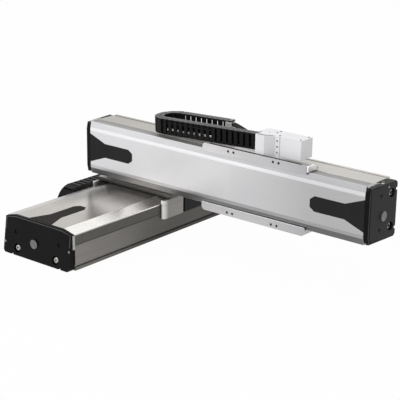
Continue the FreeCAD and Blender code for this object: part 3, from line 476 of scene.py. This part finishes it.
for node, finish in {**plainFinishes, "lower_inlays": "lowerInlay", "upper_inlays": "upperInlay",
                     "lower_slot_seals": "lowerSeal", "upper_slot_seals": "upperSeal"}.items():
    mesh = nodes[node].data
    mesh.materials.clear()
    mesh.materials.append(finishes[finish])
print("pieces eased:", len(easedNodes))

# stage axes: u along the travel, v across towards the chain, w out through the cover
axesOf = {
    "lower": Matrix.Identity(4),
    "upper": Matrix(((0, 0, -1, -0.036), (-1, 0, 0, -0.324), (0, 1, 0, 0.213), (0, 0, 0, 1))),
}
bodiesOf = {"lower": ("base", "lower_carriage"), "upper": ("lower_carriage", "upper_carriage")}


def standing(place, toward):  # a matrix that sets a piece at a place with its z axis along a direction
    return Matrix.Translation(place) @ Vector(toward).to_track_quat("Z", "Y").to_matrix().to_4x4()


def addCube(bm, place):  # a unit cube set in place, whose edges come back
    made = bmesh.ops.create_cube(bm, size=1.0, matrix=place)
    return list({edge for vert in made["verts"] for edge in vert.link_edges})


def addBlock(bm, low, high, edge, axes=Matrix.Identity(4)):  # a box with eased edges
    size = Vector(high) - Vector(low)
    middle = (Vector(high) + Vector(low)) / 2
    edges = addCube(bm, axes @ Matrix.Translation(middle) @ Matrix.Diagonal((*size, 1)))
    bevelEdges(bm, edges, edge, 1)


def addMesh(bm, mesh, place):
    copy = mesh.copy()
    copy.transform(place)
    bm.from_mesh(copy)
    bpy.data.meshes.remove(copy)


def keepMesh(name, bm):
    bmesh.ops.recalc_face_normals(bm, faces=bm.faces)
    mesh = bpy.data.meshes.new(name)
    bm.to_mesh(mesh)
    bm.free()
    return mesh


slotLook = {  # lips that close each slot: fixed ones on the wall, and bands from the caps to the carriage
    "lower": {"across": 0.1230, "foot": 0.0680, "sill": 0.0863, "top": 0.0947, "reach": 0.4695,
              "ends": (-0.1315, 0.1995)},
    "upper": {"across": 0.0730, "foot": 0.0750, "sill": 0.0938, "top": 0.1022, "reach": 0.4535,
              "ends": (-0.0465, 0.2845)},
    "thick": 0.0008, "steps": 16,
}


def addStrip(bm, own, thick, along, levels, steps):  # one strip on each side of the stage
    for side in (-1, 1):
        middle = Vector((sum(along) / 2, side * own["across"], sum(levels) / 2))
        size = (along[1] - along[0], thick, levels[1] - levels[0], 1)
        edges = addCube(bm, Matrix.Translation(middle) @ Matrix.Diagonal(size))
        lengthwise = [edge for edge in edges if abs(edge.verts[0].co.x - edge.verts[1].co.x) > thick]
        bmesh.ops.subdivide_edges(bm, edges=lengthwise, cuts=steps - 1, use_grid_fill=True)


def closeSlots(stage, look):
    own, axes = look[stage], axesOf[stage]
    still, moving = bodiesOf[stage]
    reach, ends = own["reach"], own["ends"]
    stretches = {"lips": (-reach, reach), "band_near": (-reach, ends[0]), "band_far": (ends[1], reach)}
    for tag, along in stretches.items():
        levels = (own["foot"], own["sill"]) if tag == "lips" else (own["sill"], own["top"])
        bm = bmesh.new()
        addStrip(bm, own, look["thick"], along, levels, look["steps"])
        bmesh.ops.transform(bm, matrix=axes, verts=bm.verts)
        body = still if tag == "lips" else None
        strip = addPiece(f"{stage}_slot_{tag}", bm, f"{stage}Seal", body)
        if tag != "lips":
            start, end = along if tag == "band_near" else reversed(along)
            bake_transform(strip)


for stage in ("lower", "upper"):
    closeSlots(stage, slotLook)
print("slots closed")

chainLook = {
    "pitch": 0.0185, "width": 0.042, "depth": 0.025, "outer": 0.051, "bendLinks": 6, "fixedLinks": 9,
    "plate": 0.0026, "tongue": 0.0024, "bar": 0.0022, "edge": 0.0006, "boss": 0.0040, "bossHeight": 0.0008,
    "bossSides": 12, "plateSpan": (0.03, 0.93), "tongueSpan": (0.62, 1.22), "innerBar": (0.18, 0.82),
    "tongueInset": 0.06, "knuckle": {"at": 0.98, "radius": 0.0118, "sink": 0.0003, "sides": 24},
    "cableSpan": (-0.02, 1.02), "cableSides": 10, "litSideFrom": 0.9,
    "kinds": {  # outer bar's span in pitches, and each inner cable's place across and radius
        "open": {"outerBar": (0.18, 0.82), "cables": ((0.0215, 0.0070), (0.0355, 0.0035))},
        "full": {"outerBar": (0.18, 0.82), "cables": ((0.0090, 0.0062), (0.0220, 0.0068), (0.0340, 0.0054))},
        "sparse": {"outerBar": (0.06, 0.94), "cables": ((0.0085, 0.0055),)},
        "bend": {"outerBar": (-0.10, 1.10), "cables": ((0.0085, 0.0055),)},
    },
    "lower": {"end": 0.022, "links": 11, "centre": 0.0525, "side": 0.141, "sag": 0.0, "openLinks": 0,
              "moving": "full", "fixed": "full"},
    "upper": {"end": 0.1195, "links": 17, "centre": 0.0505, "side": 0.100, "sag": 2.7, "openLinks": 9,
              "moving": "full", "fixed": "sparse"},
}


def addRod(bm, sides, radius, length, middle, toward):
    bmesh.ops.create_cone(bm, cap_ends=True, segments=sides, radius1=radius, radius2=radius, depth=length,
                          matrix=standing(middle, toward))


def makeLink(look, kind):  # along x, across y, depth z, from the corner nearest the bend
    pitch, width, depth = look["pitch"], look["width"], look["depth"]
    plate, tongue, bar, edge = look["plate"], look["tongue"], look["bar"], look["edge"]
    inset, joint = look["tongueInset"] * depth, look["knuckle"]
    bm = bmesh.new()
    for side in (0, 1):
        first, last = (part * pitch for part in look["plateSpan"])
        start = side * (width - plate)
        addBlock(bm, (first, start, 0), (last, start + plate, depth), edge)
        first, last = (part * pitch for part in look["tongueSpan"])
        start = width - plate - tongue if side else plate
        addBlock(bm, (first, start, inset), (last, start + tongue, depth - inset), edge)
        first, last = (part * pitch for part in (kind["outerBar"] if side else look["innerBar"]))
        start = side * (depth - bar)
        addBlock(bm, (first, plate, start), (last, width - plate, start + bar), edge)
        at = Vector((sum(look["plateSpan"]) / 2 * pitch, side * width, depth / 2))
        addRod(bm, look["bossSides"], look["boss"], look["bossHeight"], at, (0, 1, 0))
        thick = plate - joint["sink"]
        at = Vector((joint["at"] * pitch, abs(side * width - joint["sink"] - thick / 2), depth / 2))
        addRod(bm, joint["sides"], joint["radius"], thick, at, (0, 1, 0))
    for face in bm.faces:  # painted highlight: the outer sides of the plates take the paler, lit copy of the chain's nylon
        face.normal_update()
        face.material_index = int(abs(face.normal.y) > look["litSideFrom"])
    first, last = (part * pitch for part in look["cableSpan"])
    for across, radius in kind["cables"]:  # the stretch of each inner cable that lies in this link
        at = ((first + last) / 2, across, depth / 2)
        addRod(bm, look["cableSides"], radius, last - first, at, (1, 0, 0))
    return keepMesh("chainLink", bm)


def layLinks(name, linksOf, places, body):
    bm = bmesh.new()
    for kind, place in places:
        addMesh(bm, linksOf[kind], place)
    return addPiece(name, bm, ["chain", "chainPlateHighlight"], body)


def makeChain(stage, linksOf, look):
    own = look[stage]
    pitch, depth, outer = look["pitch"], look["depth"], look["outer"]
    pivot = Matrix.Translation((own["end"], own["side"], 0))
    lean = axesOf[stage] @ pivot @ Matrix.Rotation(math.radians(own["sag"]), 4, "Z") @ pivot.inverted()
    bendAt = own["end"] - own["links"] * pitch
    middle = own["side"] + look["width"] / 2
    runs = {"moving": (own["links"], own["centre"] + outer - depth),
            "fixed": (look["fixedLinks"], own["centre"] - outer)}
    for tag, (count, level) in runs.items():
        openLinks = own["openLinks"] if tag == "moving" else 0
        places = [("open" if at < openLinks else own[tag],
                   lean @ Matrix.Translation((bendAt + at * pitch, own["side"], level)))
                  for at in range(count)]
        run = layLinks(f"{stage}_chain_{tag}_links", linksOf, places, None)
        bendEnd = lean @ Vector((bendAt, middle, level))
        farEnd = lean @ Vector((bendAt + count * pitch, middle, level))
        beyond = farEnd + (bendEnd - farEnd) * 2  # the bend moves at half speed, so it lies halfway
        start, end = (beyond, farEnd) if tag == "moving" else (farEnd, beyond)
        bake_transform(run)
        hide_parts(f"{stage}_chain_{tag}")
    hub = lean @ Matrix.Translation((bendAt, own["side"], own["centre"]))
    turn = math.pi / look["bendLinks"]
    inLink = Matrix.Translation((-pitch / 2, 0, outer - depth))
    places = [("bend", hub @ Matrix.Rotation(-(at + 0.5) * turn, 4, "Y") @ inLink)
              for at in range(look["bendLinks"])]
    bend = layLinks(f"{stage}_chain_bend_links", linksOf, places, f"{stage}_chain_bend")
    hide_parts(f"{stage}_chain_bend")


linksOf = {name: makeLink(chainLook, kind) for name, kind in chainLook["kinds"].items()}
for stage in ("lower", "upper"):
    makeChain(stage, linksOf, chainLook)
print("chains linked")

screwLook = {"sides": 24, "socketSides": 6, "ease": 0.14, "socket": 0.55, "sink": 0.55, "small": 0.006}


def addRing(bm, count, radius, level):
    made = bmesh.ops.create_circle(bm, cap_ends=False, segments=count, radius=radius,
                                   matrix=Matrix.Translation((0, 0, level)))
    return list({edge for vert in made["verts"] for edge in vert.link_edges})


def closeRings(bm, rings):  # a skin over a stack of rings, closed at both ends
    for first, second in zip(rings, rings[1:]):
        bmesh.ops.bridge_loops(bm, edges=first + second)
    for edges in (rings[0], rings[-1]):
        bmesh.ops.contextual_create(bm, geom=edges)


def makeHead(radius, height, look):  # a screw head with a six-sided socket, standing on z = 0
    bm = bmesh.new()
    sides, corners = look["sides"], look["socketSides"]
    ease, key = look["ease"] * radius, look["socket"] * radius
    closeRings(bm, [addRing(bm, sides, radius, 0), addRing(bm, sides, radius, height - ease),
                    addRing(bm, sides, radius - ease, height), addRing(bm, corners, key, height),
                    addRing(bm, corners, key, height * (1 - look["sink"]))])
    return keepMesh("screwHead", bm)


def solidBoxes(node):  # lowest and highest corner of each separate solid of a CAD node
    bm = mergedCopy(node)
    boxes = []
    waiting = set(bm.verts)
    while waiting:
        found = [waiting.pop()]
        for vert in found:
            near = {edge.other_vert(vert) for edge in vert.link_edges} & waiting
            waiting -= near
            found.extend(near)
        corners = list(zip(*(vert.co for vert in found)))
        boxes.append((Vector([min(row) for row in corners]), Vector([max(row) for row in corners])))
    bm.free()
    return boxes


def setScrews(node, outwardOf, darkBelow=0):  # socket heads in place of a node's plain ones
    bm = bmesh.new()
    for low, high in solidBoxes(node):
        size, middle = high - low, (low + high) / 2
        outward = Vector(outwardOf(middle, size))
        height = abs(size.dot(outward))
        radius = max(extent for extent, part in zip(size, outward) if not part) / 2
        head = makeHead(radius, height, screwLook)
        for face in head.polygons:
            face.material_index = int(radius < darkBelow)
        addMesh(bm, head, standing(middle - outward * height / 2, outward))
    heads = addPiece(f"{node}_heads", bm, ["zinc", "blackScrew"], nodes[node]["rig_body"])
    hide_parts(node)


def boxScrewAxis(stage):  # a box screw's head looks out of the box along the screw's shortest side
    low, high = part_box(f"{stage}_box_body")
    centre = (low + high) / 2

    def outward(middle, size):
        axis = min(range(3), key=lambda index: size[index])
        return [math.copysign(1, middle[axis] - centre[axis]) if index == axis else 0 for index in range(3)]
    return outward


setScrews("lower_cap_screws", lambda middle, size: (math.copysign(1, middle.x), 0, 0))
setScrews("upper_cap_screws", lambda middle, size: (0, math.copysign(1, middle.y - axesOf["upper"][1][3]), 0),
          screwLook["small"])
for stage in ("lower", "upper"):
    setScrews(f"{stage}_box_screws", boxScrewAxis(stage), screwLook["small"])
print("screws set")

# the lower caps' rim bead takes the painted highlight copy, the upper caps' rim the darker cap copy as
# painted shade
capLook = {
    "lower": {"length": 0.940, "foot": 0.022, "crest": 0.007, "height": 0.1065, "half": 0.122,
              "shoulder": 0.098, "flat": 0.088, "badge": (-0.009, 0.045), "rimFoot": 0.064,
              "rim": "capEdge"},
    "upper": {"length": 0.908, "foot": 0.023, "crest": 0.014, "height": 0.110, "half": 0.072,
              "shoulder": 0.1055, "flat": 0.054, "badge": (-0.010, 0.052), "rimFoot": 0.070,
              "rim": "lowerCap"},
    "rimInset": 0.0040, "rimWidth": 0.0012, "rimHeight": 0.0006,
    "rimDrop": 0.6, "rimDraw": 0.4, "rimThin": 0.4,  # shares of the inset, and of the width
    "bossRadius": 0.013, "bossHeight": 0.0008, "badgeRadius": 0.0125, "badgeHeight": 0.0006, "badgeSides": 32,
    "badgeRings": ((1, 0), (1, 0.7), (0.95, 1), (0.86, 1), (0.82, 0.6)),  # shares of its radius and height
    "badgeAngle": 20,
}


def capFace(own, level):  # how far the cap's sloping face lies from the stage's middle
    return own["length"] / 2 + own["foot"] - (own["foot"] - own["crest"]) * level / own["height"]


def liftFaces(bm, faces, step):  # give flat faces a thickness
    lifted = bmesh.ops.extrude_face_region(bm, geom=faces)
    moved = [item for item in lifted["geom"] if isinstance(item, bmesh.types.BMVert)]
    bmesh.ops.translate(bm, verts=moved, vec=step)


def addRim(bm, own, look, axes):  # a raised bead just inside the cap's upper outline
    inset, width = look["rimInset"], look["rimWidth"]
    right = [(own["half"] - inset, own["rimFoot"]),
             (own["half"] - inset, own["shoulder"] - inset * look["rimDrop"]),
             (own["flat"] - inset * look["rimDraw"], own["height"] - inset)]
    outline = right + [(-across, level) for across, level in reversed(right)]
    crest = (2, 3)  # the outline's two highest points
    inner = [(across - math.copysign(width, across), level - width * (1 if at in crest else look["rimThin"]))
             for at, (across, level) in enumerate(outline)]
    rows = [[bm.verts.new(axes @ Vector((capFace(own, level) - look["rimHeight"], across, level)))
             for across, level in line] for line in (outline, inner)]
    faces = [bm.faces.new((rows[0][at], rows[0][at + 1], rows[1][at + 1], rows[1][at]))
             for at in range(len(outline) - 1)]
    liftFaces(bm, faces, axes.to_3x3() @ Vector((look["rimHeight"] * 2, 0, 0)))


def makeBadge(look):  # a bare disc with a shallow dish
    bm = bmesh.new()
    radius, height = look["badgeRadius"], look["badgeHeight"]
    closeRings(bm, [addRing(bm, look["badgeSides"], radius * wide, height * tall)
                    for wide, tall in look["badgeRings"]])
    return keepMesh("bareBadge", bm)


badge = makeBadge(capLook)
halfTurn = Matrix.Rotation(math.pi, 4, "Z")
for stage in ("lower", "upper"):
    own = capLook[stage]
    body = bodiesOf[stage][0]
    rims, discs = bmesh.new(), bmesh.new()
    across, level = own["badge"]
    bossFace = capFace(own, level - capLook["bossRadius"]) + capLook["bossHeight"]
    for turn in (Matrix.Identity(4), halfTurn):
        axes = axesOf[stage] @ turn
        addRim(rims, own, capLook, axes)
        addMesh(discs, badge, axes @ standing((bossFace, across, level), (1, 0, 0)))
    bmesh.ops.recalc_face_normals(rims, faces=rims.faces)
    addPiece(f"{stage}_cap_rims", rims, own["rim"], body)
    addPiece(f"{stage}_cap_badges", discs, "badge", body, angle=capLook["badgeAngle"])
print("caps dressed")

smallLook = {
    "topScrews": {"along": 0.461, "levels": (0.012, 0.041, 0.062, 0.086), "radius": 0.0024, "height": 0.0012},
    "lowScrews": {"along": 0.461, "levels": (0.098,), "radius": 0.0024, "height": 0.0025},
    "paleScrew": {"across": 0.061, "level": 0.036, "radius": 0.0028, "height": 0.0014, "sink": 0.0003},
    "plug": {"low": (0.464, 0.0716, 0.050), "high": (0.470, 0.0732, 0.058), "edge": 0.0004},
    "wiper": {"low": (-0.044, -0.0702, 0.1090), "high": (0.282, -0.0692, 0.1117), "edge": 0.0002},
    "tapHoleShades": {"along": (0.039, 0.0565, 0.1815, 0.199), "across": 0.083, "level": 0.1120, "radius": 0.0034,
                 "height": 0.0006},
    "tongue": {"levels": (0.1412, 0.1434), "points": (
        (0.1230, 0.0955), (0.1445, 0.0955), (0.1600, 0.0862), (0.1474, 0.0849), (0.1331, 0.0622),
        (0.1470, 0.0374), (0.1170, 0.0374), (0.1105, 0.0440), (0.1105, 0.0755), (0.1230, 0.0755))},
    "grommet": {"levels": (0.1400, 0.1426), "points": (
        (0.1226, 0.1019), (0.1469, 0.1019), (0.1692, 0.0880), (0.1610, 0.0866), (0.1446, 0.0958),
        (0.1226, 0.0958))},
    "trim": {"low": (-0.024, 0.0920, 0.1045), "high": (0.266, 0.0924, 0.1110), "edge": 0.0001},
    "chainTab": {"low": (-0.038, 0.106, 0.0248), "high": (-0.018, 0.132, 0.0268), "edge": 0.0005},
    "tabScrews": {"along": -0.028, "across": (0.112, 0.126), "radius": 0.0026, "height": 0.0014},
}


def addPrism(bm, points, levels, axes):  # a flat sheet from its outline, between two levels across
    foot = bm.faces.new([bm.verts.new(axes @ Vector((along, levels[0], out))) for along, out in points])
    liftFaces(bm, [foot], axes.to_3x3() @ Vector((0, levels[1] - levels[0], 0)))
    bmesh.ops.recalc_face_normals(bm, faces=bm.faces)


def upperBlock(row):  # a block with eased edges, set on the upper stage
    bm = bmesh.new()
    addBlock(bm, row["low"], row["high"], row["edge"], axesOf["upper"])
    return bm


def setHeads(bm, row, spots):  # a row of equal heads on the upper stage, each at a place and facing one way
    head = makeHead(row["radius"], row["height"], screwLook)
    for place, toward in spots:
        addMesh(bm, head, axesOf["upper"] @ standing(place, toward))


def dressUpperStage(look):
    own = capLook["upper"]
    heads, plugs = bmesh.new(), bmesh.new()
    for key, side in (("topScrews", 1), ("lowScrews", -1)):
        row = look[key]
        setHeads(heads, row, [((along, side * own["half"], level), (0, side, 0))
                              for along in (row["along"], -row["along"]) for level in row["levels"]])
    row = look["paleScrew"]
    place = (capFace(own, row["level"]) - row["sink"], row["across"], row["level"])
    setHeads(heads, row, [(place, (1, 0, 0))])
    addPiece("upper_cap_edge_screws", heads, "zinc", "lower_carriage")
    addPiece("upper_cap_plug", upperBlock(look["plug"]), "clampGrey", "lower_carriage")
    wiper = upperBlock(look["wiper"])
    addPiece("upper_flange_wiper", wiper, "endBlock", "upper_carriage")
    # painted shade: dark discs on the tapped holes stand in for the shade inside them
    row = look["tapHoleShades"]
    setHeads(plugs, row, [((along, side * row["across"], row["level"]), (0, 0, 1))
                          for along in row["along"] for side in (-1, 1)])
    addPiece("upper_tap_hole_shades", plugs, "rubber", "upper_carriage")
    for key, finish, slotName in (("tongue", "box", "box_white"), ("grommet", "rubber", "seal_rubber")):
        flap = bmesh.new()
        addPrism(flap, look[key]["points"], look[key]["levels"], axesOf["upper"])
        addPiece(f"upper_box_{key}", flap, finish, "upper_carriage")
    addPiece("upper_flange_trim", upperBlock(look["trim"]), "rubber", "upper_carriage")
    tab, row = upperBlock(look["chainTab"]), look["tabScrews"]
    setHeads(tab, row, [((row["along"], across, look["chainTab"]["high"][2]), (0, 0, 1))
                        for across in row["across"]])
    addPiece("upper_chain_tab", tab, "clampGrey", "lower_carriage")


dressUpperStage(smallLook)

cableLook = {
    "diameter": 0.008, "levels": (0.0070, 0.0170), "roundness": 3, "order": 3,
    "route": ((-0.0215, 0.1250), (0.010, 0.1175), (0.046, 0.1000), (0.072, 0.0860), (0.0835, 0.0795)),
}


def layCable(name, level, look):
    points = [axesOf["upper"] @ Vector((along, across, level)) for along, across in look["route"]]
    curve = bpy.data.curves.new(name, "CURVE")
    curve.dimensions = "3D"
    curve.bevel_depth = look["diameter"] / 2
    curve.bevel_resolution = look["roundness"]
    curve.use_fill_caps = True
    spline = curve.splines.new("NURBS")
    spline.points.add(len(points) - 1)
    for knot, point in zip(spline.points, points):
        knot.co = (*point, 1)
    spline.order_u = look["order"]
    spline.use_endpoint_u = True
    curve.materials.append(finishes["rubber"])
    cable = bpy.data.objects.new(name, curve)
    scene.collection.objects.link(cable)
    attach(cable, "lower_carriage")
    return cable


for number, level in enumerate(cableLook["levels"], start=1):
    cable = layCable(f"upper_cable_{number}", level, cableLook)
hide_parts("upper_cables")
print("small pieces added")

cameraLook = {
    "eye": (-2.63615, -2.28893, 1.20029), "azimuth": -50.976, "elevation": 18.243, "roll": 0.784,
    "focalPixels": 1271.8, "framePixels": 400, "sensor": 36.0, "clipEnd": 50,
}


def placeCamera(look):
    data = bpy.data.cameras.new("studioCamera")
    data.sensor_width = look["sensor"]
    data.lens = look["focalPixels"] / look["framePixels"] * look["sensor"]
    data.clip_end = look["clipEnd"]
    camera = bpy.data.objects.new("studioCamera", data)
    scene.collection.objects.link(camera)
    around, above, tilt = (math.radians(look[key]) for key in ("azimuth", "elevation", "roll"))
    back = Vector((math.sin(around) * math.cos(above), -math.cos(around) * math.cos(above), math.sin(above)))
    right = Vector((math.cos(around), math.sin(around), 0))
    up = back.cross(right)
    turnedRight = math.cos(tilt) * right + math.sin(tilt) * up
    turnedUp = math.cos(tilt) * up - math.sin(tilt) * right
    turned = Matrix((turnedRight, turnedUp, back)).transposed().to_4x4()
    camera.matrix_world = Matrix.Translation(look["eye"]) @ turned
    scene.camera = camera


studio = {
    "dome": 0.72, "floorTone": 0.75, "floorRough": 0.9, "floorGlow": 0.97, "floorSize": 30,
    "lamps": {  # place, aim, size in metres, power in watts
        "sideSoftbox": ((-2.6, 0.9, 1.8), (-0.1, -0.2, 0.2), 1.8, 34),
        "topSoftbox": ((0.2, -0.6, 3.6), (0, -0.3, 0.1), 3.0, 18),
    },
}


def makeWorld(look):
    world = bpy.data.worlds.new("studioDome")
    scene.world = world
    world.use_nodes = True
    dome = Shading(world.node_tree, "Background")
    dome.shader.inputs["Color"].default_value = (1, 1, 1, 1)
    level = {"Value": dome.seen(), "To Min": look["dome"], "To Max": 1.0}
    dome.feed("Strength", dome.add("ShaderNodeMapRange", None, level))


def makeFloor(look):
    bm = bmesh.new()
    bmesh.ops.create_grid(bm, x_segments=1, y_segments=1, size=look["floorSize"])
    mesh = bpy.data.meshes.new("studioFloor")
    bm.to_mesh(mesh)
    bm.free()
    floor = bpy.data.objects.new("studioFloor", mesh)
    scene.collection.objects.link(floor)
    finish = Finish("floorPaper", Roughness=look["floorRough"], Base_Color=(*[look["floorTone"]] * 3, 1))
    paper = Wire(finish, finish.shader.outputs[0])
    glow = finish.add("ShaderNodeEmission")
    mixed = finish.add("ShaderNodeMixShader", None, {0: finish.seen() * look["floorGlow"], 1: paper, 2: glow})
    finish.tree.links.new(mixed.socket, finish.tree.nodes["Material Output"].inputs["Surface"])
    mesh.materials.append(finish.material)


def hangLamps(look):
    for name, (place, aim, size, power) in look["lamps"].items():
        data = bpy.data.lights.new(name, "AREA")
        data.shape = "SQUARE"
        data.size = size
        data.energy = power
        lamp = bpy.data.objects.new(name, data)
        scene.collection.objects.link(lamp)
        toward = Vector(aim) - Vector(place)
        lamp.matrix_world = Matrix.Translation(place) @ toward.to_track_quat("-Z", "Y").to_matrix().to_4x4()


placeCamera(cameraLook)
makeWorld(studio)
makeFloor(studio)
hangLamps(studio)
scene.view_settings.view_transform = "Standard"
print("studio set")
